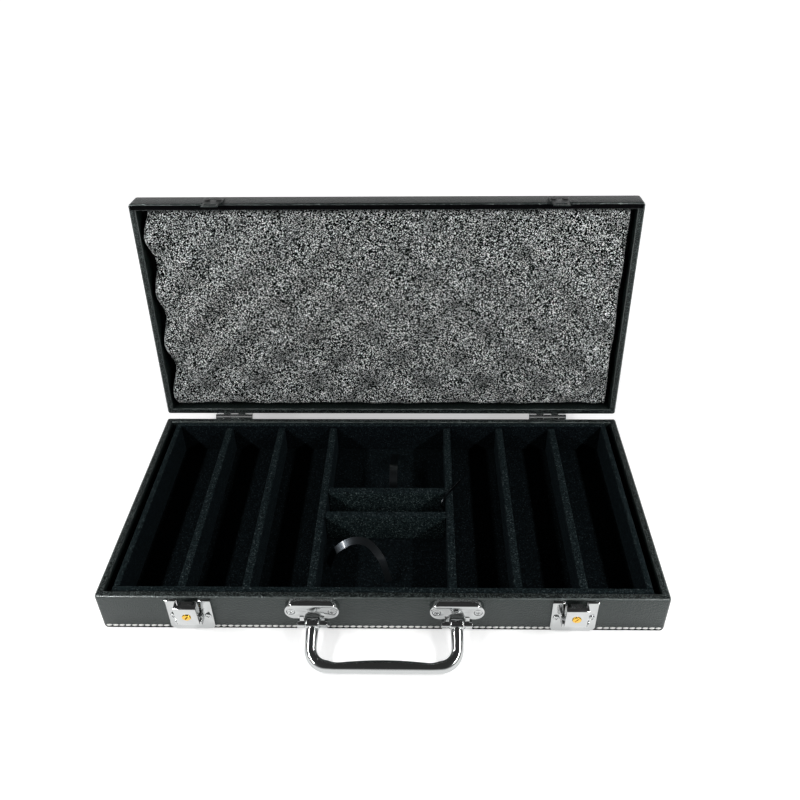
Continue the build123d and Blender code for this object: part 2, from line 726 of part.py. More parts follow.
for name, x in zip(SIDES, bracket_xs):
    bracket = Pos(x, 0, 0) * handle_bracket()
    bore = bracket_screw_shank + running_fit
    bracket = drilled(bracket, bracket_screw_seats, front_way, bore, bracket_screw_length)
    sink = bracket_screw_head + running_fit
    outward = (0, 1, 0)
    bracket = drilled(bracket, bracket_screw_seats, outward, sink, bracket_depth)
    write(f"handle_bracket_{name}", bracket)
    pin_reach = handle_leg / 2 + lug_clearance + lug_length + handle_pin_proud
    pin_x = (x - pin_reach, x + pin_reach)
    write(f"handle_pin_{name}", cross_rod(handle_pin_diameter / 2, pin_x, handle_pivot_y, handle_pivot_height))
bracket_screw = screw(bracket_screw_head, bracket_screw_head_height, bracket_screw_shank, bracket_screw_length)
write("bracket_screws", seated(bracket_screw, bracket_screw_seats, front_way))
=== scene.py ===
import json
import math

import bpy
from mathutils import Matrix, Vector


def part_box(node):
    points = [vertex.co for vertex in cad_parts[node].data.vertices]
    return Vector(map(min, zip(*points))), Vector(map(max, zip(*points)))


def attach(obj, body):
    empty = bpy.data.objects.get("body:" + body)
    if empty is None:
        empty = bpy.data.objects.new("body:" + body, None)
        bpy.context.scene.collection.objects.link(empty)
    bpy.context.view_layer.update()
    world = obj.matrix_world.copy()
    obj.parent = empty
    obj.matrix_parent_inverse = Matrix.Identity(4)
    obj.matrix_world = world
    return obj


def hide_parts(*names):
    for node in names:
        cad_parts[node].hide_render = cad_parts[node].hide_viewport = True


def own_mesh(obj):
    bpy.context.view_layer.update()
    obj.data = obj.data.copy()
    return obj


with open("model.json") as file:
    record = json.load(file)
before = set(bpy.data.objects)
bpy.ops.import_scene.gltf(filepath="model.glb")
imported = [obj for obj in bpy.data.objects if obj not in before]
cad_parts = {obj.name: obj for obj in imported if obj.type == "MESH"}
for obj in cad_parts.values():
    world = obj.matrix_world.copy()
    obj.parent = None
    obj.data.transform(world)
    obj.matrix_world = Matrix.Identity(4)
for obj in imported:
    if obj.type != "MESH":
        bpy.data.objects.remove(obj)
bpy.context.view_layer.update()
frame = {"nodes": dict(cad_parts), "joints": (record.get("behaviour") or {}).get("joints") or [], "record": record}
MM = 0.001


# Camera: above and in front of the case, looking down on it at about 35 degrees.
# Its place and lens were worked out from the corners of the base and the lid.
camera_place = Vector((28.8, -450.7, 481.5)) * MM
camera_pitch = math.radians(34.72)
camera_heading = math.radians(1.32)
camera_roll = math.radians(-0.75)
camera_data = bpy.data.cameras.new("camera")
camera_data.sensor_width = 36.0
camera_data.lens = 35.58
camera_data.shift_x = -0.0095
camera_data.shift_y = -0.0545
camera = bpy.data.objects.new("camera", camera_data)
bpy.context.collection.objects.link(camera)
camera.matrix_world = (
    Matrix.Translation(camera_place)
    @ Matrix.Rotation(camera_heading, 4, "Z")
    @ Matrix.Rotation(math.radians(90) - camera_pitch, 4, "X")
    @ Matrix.Rotation(camera_roll, 4, "Z")
)
bpy.context.scene.camera = camera
bpy.context.scene.view_settings.view_transform = "Standard"


# Studio: a white table between two long strip lights, one past each end of the case and a little
# above it. Low and narrow, they throw each divider's shadow across its channel. The walls of the
# room are white and its ceiling is dark, and the bright fittings show both.
def linear(hex_colour):
    """Linear red, green, blue and alpha for an sRGB hex colour."""
    parts = [int(hex_colour[i : i + 2], 16) / 255 for i in (1, 3, 5)]
    light = [p / 12.92 if p <= 0.04045 else ((p + 0.055) / 1.055) ** 2.4 for p in parts]
    return (*light, 1.0)


def add_node(tree, kind, settings={}, links={}):
    """Adds a node with its settings, which are its own attributes or its sockets, and its links."""
    made = tree.nodes.new(kind)
    for name, value in settings.items():
        if isinstance(name, str) and hasattr(made, name):
            setattr(made, name, value)
        else:
            made.inputs[name].default_value = value
    for name, source in links.items():
        tree.links.new(source, made.inputs[name])
    return made


def new_material(name, colour, roughness, metallic=0.0):
    """A material with its main shader, and the piece's own coordinates in metres."""
    material = bpy.data.materials.new(name)
    material.use_nodes = True
    tree = material.node_tree
    shader = tree.nodes["Principled BSDF"]
    shader.inputs["Base Color"].default_value = linear(colour)
    shader.inputs["Roughness"].default_value = roughness
    shader.inputs["Metallic"].default_value = metallic
    place = add_node(tree, "ShaderNodeTexCoord").outputs["Object"]
    return material, tree, shader, place


def strip_light(name, place, target, width, length, watts):
    """A long area lamp that runs from front to back and faces its target."""
    lamp = bpy.data.lights.new(name, "AREA")
    lamp.shape = "RECTANGLE"
    lamp.size = length
    lamp.size_y = width
    lamp.energy = watts
    lamp_object = bpy.data.objects.new(name, lamp)
    bpy.context.collection.objects.link(lamp_object)
    away = (Vector(place) - Vector(target)).normalized()
    along = Vector((0, 1, 0))
    turn = Matrix((along, away.cross(along), away)).transposed().to_4x4()
    lamp_object.matrix_world = Matrix.Translation(Vector(place)) @ turn
    lamp_object.visible_camera = False


lamp_side, lamp_line, lamp_height = 0.45, -0.24, 0.40
lamp_target = (0, lamp_line, 0.03)
lamp_width, lamp_length, lamp_watts = 0.03, 0.6, 2.9
for name, x in (("strip_light_left", -lamp_side), ("strip_light_right", lamp_side)):
    strip_light(
        name, (x, lamp_line, lamp_height), lamp_target, lamp_width, lamp_length, lamp_watts
    )

world = bpy.data.worlds.new("white_room")
bpy.context.scene.world = world
world.use_nodes = True
room = world.node_tree
room.nodes.clear()


def ray_is_seen(tree):
    """1 for what the camera sees, also in a mirror or through glass, and 0 for light on a piece."""
    ray = add_node(tree, "ShaderNodeLightPath")
    direct = add_node(
        tree,
        "ShaderNodeMath",
        {"operation": "MAXIMUM"},
        {0: ray.outputs["Is Camera Ray"], 1: ray.outputs["Is Glossy Ray"]},
    )
    either = add_node(
        tree,
        "ShaderNodeMath",
        {"operation": "MAXIMUM"},
        {0: direct.outputs[0], 1: ray.outputs["Is Transmission Ray"]},
    )
    return either.outputs[0]


white = linear("#FFFFFF")
fill = add_node(room, "ShaderNodeBackground", {"Color": white, "Strength": 0.05})
sight_line = add_node(room, "ShaderNodeTexCoord").outputs["Generated"]
way = add_node(room, "ShaderNodeSeparateXYZ", {}, {"Vector": sight_line})
ceiling = add_node(
    room,
    "ShaderNodeMapRange",
    {"From Min": 0.1, "From Max": 0.45, "To Min": 1.0, "To Max": 0.05},
    {"Value": way.outputs["Z"]},
)
shown = add_node(
    room, "ShaderNodeBackground", {"Color": white}, {"Strength": ceiling.outputs["Result"]}
)
mixed = add_node(
    room,
    "ShaderNodeMixShader",
    {},
    {0: ray_is_seen(room), 1: fill.outputs[0], 2: shown.outputs[0]},
)
add_node(room, "ShaderNodeOutputWorld", {}, {"Surface": mixed.outputs[0]})

# Round the case the paper keeps its shadow; from 0.2 to 0.5 m out it goes over to plain white.
table_size = 6.0
bpy.ops.object.select_all(action="DESELECT")
bpy.ops.mesh.primitive_plane_add(size=table_size, location=(0, 0, 0))
table_top = bpy.context.object
table_top.name = "table_top"
paper, tree, shader, place = new_material("white_paper", "#F2F2F2", 0.8)
distance = add_node(tree, "ShaderNodeVectorMath", {"operation": "LENGTH"}, {0: place})
whiteness = add_node(
    tree,
    "ShaderNodeMapRange",
    {"From Min": 0.2, "From Max": 0.5, "To Min": 0.45, "To Max": 1.0},
    {"Value": distance.outputs["Value"]},
)
level = add_node(
    tree,
    "ShaderNodeMath",
    {"operation": "MULTIPLY"},
    {0: ray_is_seen(tree), 1: whiteness.outputs["Result"]},
)
glow = add_node(tree, "ShaderNodeEmission", {"Color": white}, {"Strength": level.outputs[0]})
both = add_node(tree, "ShaderNodeAddShader", {}, {0: shader.outputs[0], 1: glow.outputs[0]})
tree.links.new(both.outputs[0], tree.nodes["Material Output"].inputs["Surface"])
table_top.data.materials.append(paper)


# Leather of the base and lid: black PU-coated leather with a fine pebble grain, glued round the
# boards. The coating has a low, even shine. The pebbles are drawn 0.9 mm wide and warped by up to
# 0.6 mm, which is coarser than the real ones, so that they show.
grain_size = 0.9 * MM
grain_warp = 0.0006
leather, tree, shader, place = new_material("black_coated_leather", "#121817", 0.3)
shader.inputs["Specular IOR Level"].default_value = 0.5
shader.inputs["Specular Tint"].default_value = linear("#F0FFFD")
warp = add_node(
    tree, "ShaderNodeTexNoise", {"Scale": 0.5 / grain_size, "Detail": 2.0}, {"Vector": place}
)
bent = add_node(
    tree,
    "ShaderNodeMix",
    {"data_type": "VECTOR", "Factor": grain_warp},
    {4: place, 5: warp.outputs["Color"]},
)
cells = add_node(
    tree,
    "ShaderNodeTexVoronoi",
    {"feature": "SMOOTH_F1", "Scale": 1 / grain_size, "Smoothness": 0.3},
    {"Vector": bent.outputs[1]},
)
pores = add_node(
    tree,
    "ShaderNodeBump",
    {"Strength": 1.0, "Distance": 0.4 * MM},
    {"Height": cells.outputs["Distance"]},
)
tree.links.new(pores.outputs[0], shader.inputs["Normal"])

# The photograph shows a bright line along the folds over the rims, so the leather has more gloss
# there.
burnished = leather.copy()
burnished.name = "black_coated_leather_at_folds"
polish = burnished.node_tree.nodes["Principled BSDF"]
polish.inputs["Specular IOR Level"].default_value = 1.0
polish.inputs["Coat Weight"].default_value = 1.0
polish.inputs["Coat Roughness"].default_value = 0.2

# The level tops of the rims carry painted shade and painted glints: a darker tone, with grey specks for the light
# the grain catches.
# The tones are matched, and the specks are drawn 0.6 mm wide.
speck_size = 0.6 * MM
rim_top_painted_shade_and_glints = leather.copy()
rim_top_painted_shade_and_glints.name = "black_coated_leather_painted_shade_and_glints_on_rims"
rim_top_tree = rim_top_painted_shade_and_glints.node_tree
rim_top_shader = rim_top_tree.nodes["Principled BSDF"]
rim_top_shader.inputs["Specular IOR Level"].default_value = 0.18
rim_top_place = rim_top_tree.nodes["Texture Coordinate"].outputs["Object"]
spots = add_node(rim_top_tree, "ShaderNodeTexVoronoi", {"Scale": 1 / speck_size}, {"Vector": rim_top_place})
chance = add_node(rim_top_tree, "ShaderNodeSeparateColor", {}, {"Color": spots.outputs["Color"]})
rim_top_glint_tones = add_node(rim_top_tree, "ShaderNodeValToRGB", {}, {"Fac": chance.outputs["Red"]})
rim_top_glint_tones.color_ramp.elements[0].color = linear("#030505")
rim_top_glint_tones.color_ramp.elements[1].color = linear("#4C5453")
rim_top_glint_tones.color_ramp.elements.new(0.6).color = linear("#090D0D")
rim_top_tree.links.new(rim_top_glint_tones.outputs[0], rim_top_shader.inputs["Base Color"])

# Painted shade: a matt black band along the foot of the base, under the stitches, and on the edges of the
# underside sheet, stands in for the shade where the leather turns under. A matt black line runs under the
# stitches in the photograph. It is taken for painted cut edges, which is a guess.
foot_painted_shade, tree, shader, place = new_material("black_painted_shade_at_foot", "#030404", 0.95)
shader.inputs["Specular IOR Level"].default_value = 0.03
foot_noise = add_node(
    tree, "ShaderNodeTexNoise", {"Scale": 1 / (1.667 * MM), "Detail": 2.0}, {"Vector": place}
)
foot_bumps = add_node(
    tree,
    "ShaderNodeBump",
    {"Strength": 0.3, "Distance": 0.1 * MM},
    {"Height": foot_noise.outputs["Fac"]},
)
tree.links.new(foot_bumps.outputs[0], shader.inputs["Normal"])


def apply_modifiers(piece):
    """Applies every modifier on the piece, top first."""
    bpy.context.view_layer.objects.active = piece
    for modifier in list(piece.modifiers):
        bpy.ops.object.modifier_apply(modifier=modifier.name)


bodies = frame["record"]["behaviour"]["bodies"]
carriers = {node: body for body, nodes in bodies.items() for node in nodes}


def settle(piece, name, material, node, sharp=40, others=()):
    """Names a finished piece, smooths it and sets it in its CAD node's place.

    Its marked faces take the other materials.
    """
    piece.name = name
    piece.data.name = name
    marks = [polygon.material_index for polygon in piece.data.polygons]
    piece.data.materials.clear()
    piece.data.materials.append(material)
    if others:
        for other in others:
            piece.data.materials.append(other)
        for polygon, mark in zip(piece.data.polygons, marks):
            polygon.material_index = mark
    bpy.ops.object.select_all(action="DESELECT")
    piece.select_set(True)
    bpy.context.view_layer.objects.active = piece
    bpy.ops.object.transform_apply(location=True, rotation=True, scale=True)
    bpy.ops.object.shade_smooth_by_angle(angle=math.radians(sharp))
    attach(piece, carriers[node])
    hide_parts(node)


case_half = Vector((200.0, 98.0)) * MM
wall_thickness = 5.4 * MM
leather_thickness = 0.7 * MM
corner_radius = 2.5 * MM
outer_fold = 1.5 * MM
inner_fold = 1.1 * MM
fold_depth = 2 * MM
fold_slope = 0.35
level_slope = 0.95
lid_hinge = [j for j in frame["joints"] if j["name"] == "lid_hinge"][0]
lid_angle = math.radians(-94.5)
closed_height = 53.0 * MM
hair = 0.001 * MM


def open_with_lid(piece):
    """Turns a piece modelled on the closed lid to where the lid stands open."""
    hinge = Vector(lid_hinge["pos_m"])
    piece.matrix_world = (
        Matrix.Translation(hinge) @ Matrix.Rotation(lid_angle, 4, "X") @ Matrix.Translation(-hinge)
    ) @ piece.matrix_world


def choose(piece, edges=None, faces=None):
    """Selects, in edit mode, the edges whose two ends pass a test, or the faces that pass one."""
    bpy.ops.object.mode_set(mode="OBJECT")
    bpy.context.tool_settings.mesh_select_mode = (False, edges is not None, faces is not None)
    points = [vertex.co for vertex in piece.data.vertices]
    for vertex in piece.data.vertices:
        vertex.select = False
    for edge in piece.data.edges:
        start, end = (points[i] for i in edge.vertices)
        edge.select = edges is not None and edges(start, end)
    for polygon in piece.data.polygons:
        polygon.select = faces is not None and faces(polygon)
    bpy.ops.object.mode_set(mode="EDIT")


def at_height(a, b, height):
    """Whether both ends of an edge lie at a height."""
    return abs(a.z - height) < hair and abs(b.z - height) < hair


def block(low, high):
    """A plain block between two corners, to be shaped."""
    bpy.ops.object.select_all(action="DESELECT")
    bpy.ops.mesh.primitive_cube_add(size=1.0, location=(low + high) / 2, scale=high - low)
    bpy.ops.object.transform_apply(location=True, rotation=True, scale=True)
    return bpy.context.object


def leather_tray(foot, rim, lining):
    """Leather turned over four walls, from its foot over the rim and down inside to the lining."""

    def at_corner(a, b):
        return abs(a.z - b.z) > 1 * MM and min(abs(a.x), abs(b.x)) > case_half.x - 1 * MM

    piece = block(Vector((*-case_half, foot)), Vector((*case_half, rim)))
    choose(piece, faces=lambda face: face.normal.z > 0.9)
    bpy.ops.mesh.inset(thickness=wall_thickness, depth=0)
    bpy.ops.mesh.extrude_region_move(TRANSFORM_OT_translate={"value": (0, 0, lining - rim)})
    bpy.ops.mesh.delete(type="FACE")
    choose(piece, edges=at_corner)
    bpy.ops.mesh.bevel(offset=corner_radius, segments=4, affect="EDGES")
    return piece


def fold_rims(piece, rim):
    """Rounds the leather over the rim, more on the outside than on the inside.

    Faces that lean take the second material and the level top takes the third.
    """
    inside = case_half - Vector((wall_thickness, wall_thickness)) * 0.9

    def within(point):
        return abs(point.x) < inside.x and abs(point.y) < inside.y

    def outermost(point):
        middle = case_half - Vector((corner_radius, corner_radius))
        corner = Vector((abs(point.x), abs(point.y))) - middle
        return Vector((max(corner.x, 0), max(corner.y, 0))).length > corner_radius * 0.95

    choose(piece, edges=lambda a, b: at_height(a, b, rim) and within(a) and within(b))
    bpy.ops.mesh.bevel(offset=inner_fold, segments=3, affect="EDGES")
    choose(piece, edges=lambda a, b: at_height(a, b, rim) and outermost(a) and outermost(b))
    bpy.ops.mesh.bevel(offset=outer_fold, segments=4, affect="EDGES")
    bpy.ops.object.mode_set(mode="OBJECT")
    body = piece.modifiers.new("leather", "SOLIDIFY")
    body.thickness = leather_thickness
    body.offset = -1
    apply_modifiers(piece)
    # Level faces near the rim take the third material, with its painted shade and glints.
    for polygon in piece.data.polygons:
        if polygon.center.z > rim - fold_depth and polygon.normal.z > fold_slope:
            polygon.material_index = 1 if polygon.normal.z < level_slope else 2


base_foot = 0.7 * MM
base_rim = 34.0 * MM
lid_depth = 18.0 * MM
lining_height = 3.7 * MM
seam_fold = 2.1 * MM
seam_tuck = 0.2 * MM
painted_shade_height = seam_fold * 0.8

base_cover = leather_tray(base_foot, base_rim, lining_height)
choose(base_cover, faces=lambda face: face.normal.z < -0.9)
bpy.ops.mesh.delete(type="FACE")
bpy.ops.mesh.select_all(action="SELECT")
bpy.ops.mesh.bisect(plane_co=(0, 0, seam_fold), plane_no=(0, 0, 1))
bpy.ops.object.mode_set(mode="OBJECT")
for vertex in base_cover.data.vertices:
    if vertex.co.z < base_foot + 0.01 * MM:
        vertex.co.x -= math.copysign(seam_tuck, vertex.co.x)
        vertex.co.y -= math.copysign(seam_tuck, vertex.co.y)
fold_rims(base_cover, base_rim)
# The band at the foot, under the stitches, takes the painted shade.
for polygon in base_cover.data.polygons:
    if base_foot < polygon.center.z < painted_shade_height:
        polygon.material_index = 3
base_others = [burnished, rim_top_painted_shade_and_glints, foot_painted_shade]
settle(base_cover, "base_leather", leather, "base_leather_cover", others=base_others)

lid_cover = leather_tray(0.0, lid_depth, lining_height)
choose(lid_cover, edges=lambda a, b: at_height(a, b, 0))
bpy.ops.mesh.bevel(offset=outer_fold, segments=4, affect="EDGES")
fold_rims(lid_cover, lid_depth)
face_down = Matrix.Rotation(math.pi, 4, "X")
lid_cover.matrix_world = Matrix.Translation((0, 0, closed_height)) @ face_down
open_with_lid(lid_cover)
settle(lid_cover, "lid_leather", leather, "lid_leather_cover", others=[burnished, rim_top_painted_shade_and_glints])

# Underside of the base: a plain sheet of the same leather, glued on last, a little short of the
# edges.
sheet_margin = Vector((0.3, 0.3, 0)) * MM
low, high = (Vector(corner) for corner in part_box("base_bottom_leather"))
underside = block(low + sheet_margin, high - sheet_margin)
choose(underside, edges=lambda a, b: abs(a.z - b.z) > 0.5 * MM)
bpy.ops.mesh.bevel(offset=corner_radius, segments=4, affect="EDGES")
choose(underside, edges=lambda a, b: at_height(a, b, 0))
bpy.ops.mesh.bevel(offset=leather_thickness / 2, segments=2, affect="EDGES")
bpy.ops.object.mode_set(mode="OBJECT")
# The sheet's edges take the painted shade of the foot.
for polygon in underside.data.polygons:
    polygon.material_index = 1 if abs(polygon.normal.z) < 0.9 else 0
settle(underside, "base_underside", leather, "base_bottom_leather", others=[foot_painted_shade])


# Boards inside the leather. They are out of sight, so brown sawn fibreboard is a guess, as is
# their thickness. They are glued edge to edge.
fibreboard, tree, shader, place = new_material("sawn_fibreboard", "#8A6A48", 0.85)
fibres = add_node(
    tree, "ShaderNodeTexNoise", {"Scale": 1 / (1.111 * MM), "Detail": 4.0}, {"Vector": place}
)
tones = add_node(tree, "ShaderNodeValToRGB", {}, {"Fac": fibres.outputs["Fac"]})
tones.color_ramp.elements[0].color = linear("#7A5C3E")
tones.color_ramp.elements[1].color = linear("#9A7A56")
tree.links.new(tones.outputs[0], shader.inputs["Base Color"])


def dress(node, material):
    """Gives a CAD node its finish."""
    mesh = frame["nodes"][node].data
    mesh.materials.clear()
    mesh.materials.append(material)


for name in frame["nodes"]:
    if name.endswith("_board"):
        dress(name, fibreboard)

# The panels look black round the insert and behind the foam. They are taken to be lined with
# black paper, which is a guess.
lining, tree, shader, place = new_material("black_lining_paper", "#060707", 0.9)
shader.inputs["Specular IOR Level"].default_value = 0.1
pulp = add_node(
    tree, "ShaderNodeTexNoise", {"Scale": 1 / (1.4286 * MM), "Detail": 4.0}, {"Vector": place}
)
lumps = add_node(
    tree,
    "ShaderNodeBump",
    {"Strength": 0.3, "Distance": 0.1 * MM},
    {"Height": pulp.outputs["Fac"]},
)
tree.links.new(lumps.outputs[0], shader.inputs["Normal"])
dress("base_bottom_board", lining)
dress("lid_panel_board", lining)


# Chip insert: walls and dividers of board covered in black flocked felt, glued up as one tray.
# The felt rounds every edge off and catches a little light there. Its tufts are drawn 0.65 mm
# wide, which is coarser than the real ones, so that they show.
felt_edge = 1.0 * MM
tuft_size = 0.65 * MM
felt, tree, shader, place = new_material("black_flocked_felt", "#070A0C", 0.95)
shader.inputs["Specular IOR Level"].default_value = 0.05
shader.inputs["Sheen Weight"].default_value = 0.06
shader.inputs["Sheen Roughness"].default_value = 0.4
shader.inputs["Sheen Tint"].default_value = linear("#7FA3A8")
flock = add_node(tree, "ShaderNodeTexVoronoi", {"Scale": 1 / tuft_size}, {"Vector": place})
lean = add_node(tree, "ShaderNodeSeparateColor", {}, {"Color": flock.outputs["Color"]})
nap_tones = add_node(tree, "ShaderNodeValToRGB", {}, {"Fac": lean.outputs["Red"]})
nap_tones.name = "nap"
tree.links.new(nap_tones.outputs[0], shader.inputs["Base Color"])
ruffled = add_node(
    tree,
    "ShaderNodeBump",
    {"Strength": 0.6, "Distance": 0.3 * MM},
    {"Height": flock.outputs["Distance"]},
)
tree.links.new(ruffled.outputs[0], shader.inputs["Normal"])


def brushed(felting, tones):
    """Sets the felt's tones, from the tufts that lean away to the few that catch the light."""
    ramp = felting.node_tree.nodes["nap"].color_ramp
    for position in (0.4, 0.8, 0.95):
        ramp.elements.new(position)
    for element, tone in zip(ramp.elements, tones):
        element.color = linear(tone)


# On the floor the felt carries painted shade, a darker tone, and on the cross dividers and the tops with their
# edges it carries painted light, a lighter one.
# Each place has its own tones, matched one by one.
floor_felt_painted_shade = felt.copy()
cross_felt_painted_light = felt.copy()
top_felt_painted_light = felt.copy()
floor_felt_painted_shade.name = "black_flocked_felt_painted_shade_on_floor"
cross_felt_painted_light.name = "black_flocked_felt_painted_light_on_cross_dividers"
top_felt_painted_light.name = "black_flocked_felt_painted_light_on_tops"
brushed(felt, ("#010203", "#04080B", "#0B1216", "#151D21", "#252E31"))
brushed(floor_felt_painted_shade, ("#010202", "#020608", "#080F12", "#12191C", "#22292C"))
brushed(top_felt_painted_light, ("#020507", "#0B1315", "#182123", "#272F31", "#434B4C"))
brushed(cross_felt_painted_light, ("#04080A", "#101A1C", "#222D2E", "#364242", "#566262"))


def felt_board(node, felting):
    """A board with its felt folded over every edge."""
    piece = block(*(Vector(corner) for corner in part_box(node)))
    rounding = piece.modifiers.new("rounding", "BEVEL")
    rounding.width = felt_edge
    rounding.segments = 3
    apply_modifiers(piece)
    # Faces that look up take the lighter felt, with painted light on the tops.
    for polygon in piece.data.polygons:
        polygon.material_index = 1 if polygon.normal.z > 0.5 else 0
    settle(piece, node + "_felted", felting, node, others=[top_felt_painted_light])


# The floor takes the darker felt with painted shade, and the cross dividers the lighter felt with painted light.
dress("insert_floor", floor_felt_painted_shade)
for name in frame["nodes"]:
    if "divider" in name or (name.startswith("insert_") and name.endswith("_wall")):
        felt_board(name, cross_felt_painted_light if name.startswith("cross_") else felt)


# Painted shade: a black strip on the rim of the lid's front wall, between its two folds, stands in for the shade
# along the top of the lid.
strip, tree, shader, place = new_material("black_strip_painted_shade", "#030304", 1.0)
shader.inputs["Specular IOR Level"].default_value = 0.05
fuzz = add_node(
    tree, "ShaderNodeTexNoise", {"Scale": 1 / (0.6667 * MM), "Detail": 3.0}, {"Vector": place}
)
raised = add_node(
    tree,
    "ShaderNodeBump",
    {"Strength": 0.5, "Distance": 0.2 * MM},
    {"Height": fuzz.outputs["Fac"]},
)
tree.links.new(raised.outputs[0], shader.inputs["Normal"])
strip_low = Vector((-198.4, -96.9, 34.2)) * MM
strip_high = Vector((198.4, -93.4, 35.2)) * MM
lid_shade_strip = block(strip_low, strip_high)
rounding = lid_shade_strip.modifiers.new("rounding", "BEVEL")
rounding.width = 0.4 * MM
rounding.segments = 2
apply_modifiers(lid_shade_strip)
open_with_lid(lid_shade_strip)
settle(lid_shade_strip, "lid_strip_painted_shade", strip, "lid_felt_strip")


# Lid foam: charcoal polyurethane, cut on a convoluting machine into peaks and hollows by turns.
# It is glued to the lid's board. Its cells are open and their tone differs at random from cell to cell; the white
# ones are painted glints and the black ones painted shade in the pores. They are drawn 0.6 mm wide, a little
# coarser than the real ones, so that they show.
panel_inside = 49.3 * MM
foam_half = Vector((193.8, 91.8)) * MM
foam_step = 24.7 * MM
foam_middle_peak = Vector((-16.0, 3.8)) * MM
foam_low = 6.4 * MM
foam_peak = 14.4 * MM
foam_pinch = 6.0 * MM
foam_roll = 3.0 * MM
foam_cut_share = 0.65
foam_back_gap = 0.1 * MM
foam_grid = (260, 124)
foam_cell = 0.6 * MM

bpy.ops.object.select_all(action="DESELECT")
bpy.ops.mesh.primitive_grid_add(
    x_subdivisions=foam_grid[0], y_subdivisions=foam_grid[1], size=2.0, location=(0, 0, 0)
)
foam = bpy.context.object
foam.scale = (foam_half.x, foam_half.y, 1)
bpy.ops.object.transform_apply(location=True, rotation=True, scale=True)


def foam_swell(x, y):
    """1 at a peak and 0 at a hollow, a little uneven from one to the next."""
    across = math.cos(math.pi * (x - foam_middle_peak.x) / foam_step)
    along = math.cos(math.pi * (y - foam_middle_peak.y) / foam_step)
    slow_drift = 0.07 * math.sin(x * 61 + 1.3) * math.sin(y * 83 + 0.4)
    slant_drift = 0.05 * math.sin(x * 190 + y * 120)
    return min(1.0, max(0.0, 0.5 + 0.5 * across * along + (slow_drift + slant_drift)))


def foam_depth(x, y):
    """Thickness of the foam at a place, rolled off towards its cut edges."""
    edge = min(foam_half.x - abs(x), foam_half.y - abs(y))
    rolled = 1 - max(0.0, 1 - edge / foam_roll) ** 2
    thickness = foam_low + (foam_peak - foam_low) * foam_swell(x, y)
    return thickness * (foam_cut_share + (1 - foam_cut_share) * rolled)


for vertex in foam.data.vertices:
    x, y = vertex.co.x, vertex.co.y
    vertex.co.z = panel_inside - foam_depth(x, y)
    slack = 1 - foam_swell(x, y)
    vertex.co.x -= foam_pinch * slack * (x / foam_half.x) ** 9
    vertex.co.y -= foam_pinch / 2 * slack * (y / foam_half.y) ** 5
bpy.ops.object.mode_set(mode="EDIT")
bpy.ops.mesh.select_all(action="SELECT")
bpy.ops.mesh.flip_normals()
bpy.ops.mesh.select_all(action="DESELECT")
bpy.ops.mesh.select_non_manifold()
bpy.ops.mesh.extrude_region_move(TRANSFORM_OT_translate={"value": (0, 0, 0)})
bpy.ops.object.mode_set(mode="OBJECT")
for vertex in foam.data.vertices:
    if vertex.select:
        vertex.co.z = panel_inside - foam_back_gap
bpy.ops.object.mode_set(mode="EDIT")
bpy.ops.mesh.edge_face_add()
bpy.ops.mesh.select_all(action="SELECT")
bpy.ops.mesh.normals_make_consistent(inside=False)
bpy.ops.object.mode_set(mode="OBJECT")
open_with_lid(foam)

foam_skin, tree, shader, place = new_material("charcoal_polyurethane_foam", "#626665", 0.95)
shader.inputs["Specular IOR Level"].default_value = 0.1
cells = add_node(tree, "ShaderNodeTexVoronoi", {"Scale": 1 / foam_cell}, {"Vector": place})
chance = add_node(tree, "ShaderNodeSeparateColor", {}, {"Color": cells.outputs["Color"]})
foam_tones = add_node(tree, "ShaderNodeValToRGB", {}, {"Fac": chance.outputs["Red"]})
# Painted light: the white tones are painted glints and the black ones painted shade in the pores.
speckles = foam_tones.color_ramp.elements
speckles[0].color = linear("#010202")
speckles[1].color = linear("#FFFFFF")
for position, tone in ((0.59, "#020303"), (0.735, "#6A706F"), (0.86, "#F2FAF9")):
    speckles.new(position).color = linear(tone)
tree.links.new(foam_tones.outputs[0], shader.inputs["Base Color"])
rough_cells = add_node(
    tree,
    "ShaderNodeBump",
    {"Strength": 0.8, "Distance": 0.5 * MM},
    {"Height": cells.outputs["Distance"]},
)
tree.links.new(rough_cells.outputs[0], shader.inputs["Normal"])
settle(foam, "egg_crate_foam", foam_skin, "lid_foam", sharp=180)
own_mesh(foam)


# Chrome fittings: stamped and die-cast zinc, nickelled and chromed to a bright mirror finish.
# Stamping leaves every edge a little rounded, and that is where the light catches.
chrome, tree, shader, place = new_material("bright_chrome_plate", "#B9BBBB", 0.09, metallic=1.0)
handled = add_node(
    tree, "ShaderNodeTexNoise", {"Scale": 1 / (5.556 * MM), "Detail": 5.0}, {"Vector": place}
)
dulled = add_node(
    tree, "ShaderNodeMapRange", {"To Min": 0.05, "To Max": 0.2}, {"Value": handled.outputs["Fac"]}
)
tree.links.new(dulled.outputs["Result"], shader.inputs["Roughness"])
waves = add_node(
    tree, "ShaderNodeTexNoise", {"Scale": 1 / (8.333 * MM), "Detail": 1.0}, {"Vector": place}
)
cast = add_node(
    tree,
    "ShaderNodeBump",
    {"Strength": 0.12, "Distance": 0.5 * MM},
    {"Height": waves.outputs["Fac"]},
)
tree.links.new(cast.outputs[0], shader.inputs["Normal"])


